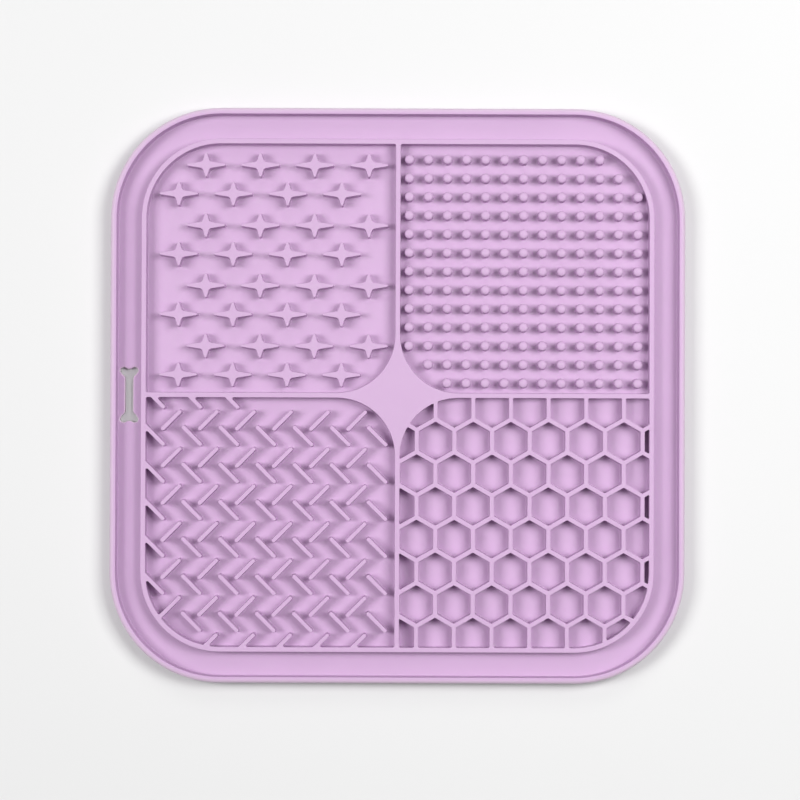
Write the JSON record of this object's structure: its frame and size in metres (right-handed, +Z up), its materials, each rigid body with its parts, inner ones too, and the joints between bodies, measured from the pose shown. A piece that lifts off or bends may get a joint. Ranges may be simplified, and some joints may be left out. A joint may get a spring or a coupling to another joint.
{
  "type": "slow feeder mat",
  "caption": "Square silicone licking mat with round corners: outer lip, gutter, and four fields of star posts, round pins, herringbone ribs and honeycomb cells.",
  "frame": {"origin": "middle of the flat underside, at the height of the surface it lies on", "axes": "+Z up out of the tray; +X towards the pin and honeycomb fields, away from the hanging slot; +Y towards the star and pin fields"},
  "size_m": [0.201, 0.201, 0.008],
  "materials": {
    "silicone": "lilac moulded silicone rubber, satin, slightly soft to light at its thin edges"
  },
  "bodies": {
    "root": {"mat": "silicone"}
  },
  "joints": []
}
